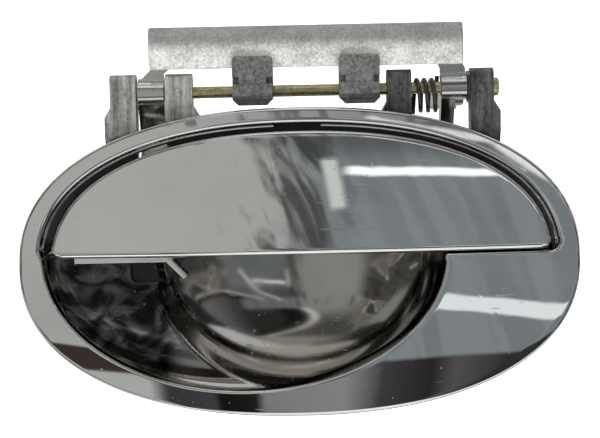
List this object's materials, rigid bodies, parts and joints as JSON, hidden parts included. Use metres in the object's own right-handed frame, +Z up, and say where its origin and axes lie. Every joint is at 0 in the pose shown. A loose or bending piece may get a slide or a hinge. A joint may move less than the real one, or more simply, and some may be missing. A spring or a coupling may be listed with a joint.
{
  "type": "car door handle",
  "caption": "Exterior flap door handle: an oval bezel with a finger cup, a sprung flap hinged on a rod with a counterweight, and a crank that lifts the latch rod.",
  "frame": {"origin": "middle of the oval bezel, on the plane where the rim's gasket meets the door skin", "axes": "+X along the handle, to the right as seen from outside the car; +Y into the door; +Z up"},
  "size_m": [0.19, 0.0577, 0.1327],
  "materials": {
    "chrome_bezel": "mirror chrome plating on a plastic moulding",
    "chrome_paddle": "mirror chrome plating on a plastic moulding",
    "chrome_cup": "mirror chrome plating on a plastic moulding",
    "chrome_leg": "chrome plating",
    "chrome_arm": "chrome plating on a zinc casting",
    "gasket_rubber": "soft black rubber",
    "stop_rubber": "soft black rubber",
    "bracket_casting": "satin plated casting",
    "zinc_bar": "grainy cast zinc",
    "zinc_hook": "matt cast zinc",
    "yellow_zinc_rod": "yellow passivated zinc plate",
    "spring_steel": "dark spring wire",
    "screw_steel": "bright zinc plate",
    "stud_steel": "bright zinc plate",
    "pin_steel": "turned steel",
    "clip_steel": "dark spring steel",
    "crank_steel": "pressed steel, zinc plated",
    "washer_plastic": "natural nylon",
    "bush_plastic": "natural nylon",
    "clip_plastic": "natural acetal"
  },
  "bodies": {
    "housing": {"bezel": "chrome_bezel", "door_gasket": "gasket_rubber", "finger_cup": "chrome_cup", "bezel_screws": "screw_steel", "mounting_studs": "stud_steel", "bump_stops": "stop_rubber", "hinge_bracket_left": "bracket_casting", "hinge_bracket_right": "bracket_casting", "bracket_screws": "screw_steel", "hinge_rod": "yellow_zinc_rod", "rod_retaining_ring": "clip_steel", "thrust_washer": "washer_plastic", "torsion_spring": "spring_steel", "crank_pin": "pin_steel", "crank_retaining_ring": "clip_steel"},
    "flap": {"paddle": "chrome_paddle", "guide_leg": "chrome_leg", "hinge_arm_left": "chrome_arm", "hinge_arm_right": "chrome_arm", "barrel_bushes": "bush_plastic", "arm_screws": "screw_steel", "counterweight_bar": "zinc_bar", "counterweight_hook_left": "zinc_hook", "counterweight_hook_right": "zinc_hook", "lug_screws": "screw_steel", "hook_screws": "screw_steel"},
    "latch_crank": {"latch_crank": "crank_steel"},
    "rod_clip": {"latch_rod_clip": "clip_plastic"}
  },
  "joints": [
    {"name": "flap_pull", "type": "hinge", "parent": "housing", "child": "flap", "pos_m": [0, 0.006, 0.058], "axis": [-1, 0, 0], "range_deg": [0, 28], "stiffness_Nm_per_rad": 0.3, "springref_deg": -68.75, "deforming": ["torsion_spring"]},
    {"name": "crank_swing", "type": "hinge", "parent": "housing", "child": "latch_crank", "pos_m": [0.056, 0.03, 0.058], "axis": [1, 0, 0], "range_deg": [0, 25.2]},
    {"name": "clip_swivel", "type": "hinge", "parent": "latch_crank", "child": "rod_clip", "pos_m": [0.051, 0.044, 0.054], "axis": [1, 0, 0], "range_deg": [-30, 30]}
  ],
  "couplings": [
    {"joint": "crank_swing", "follows": "flap_pull", "ratio": 0.9}
  ]
}
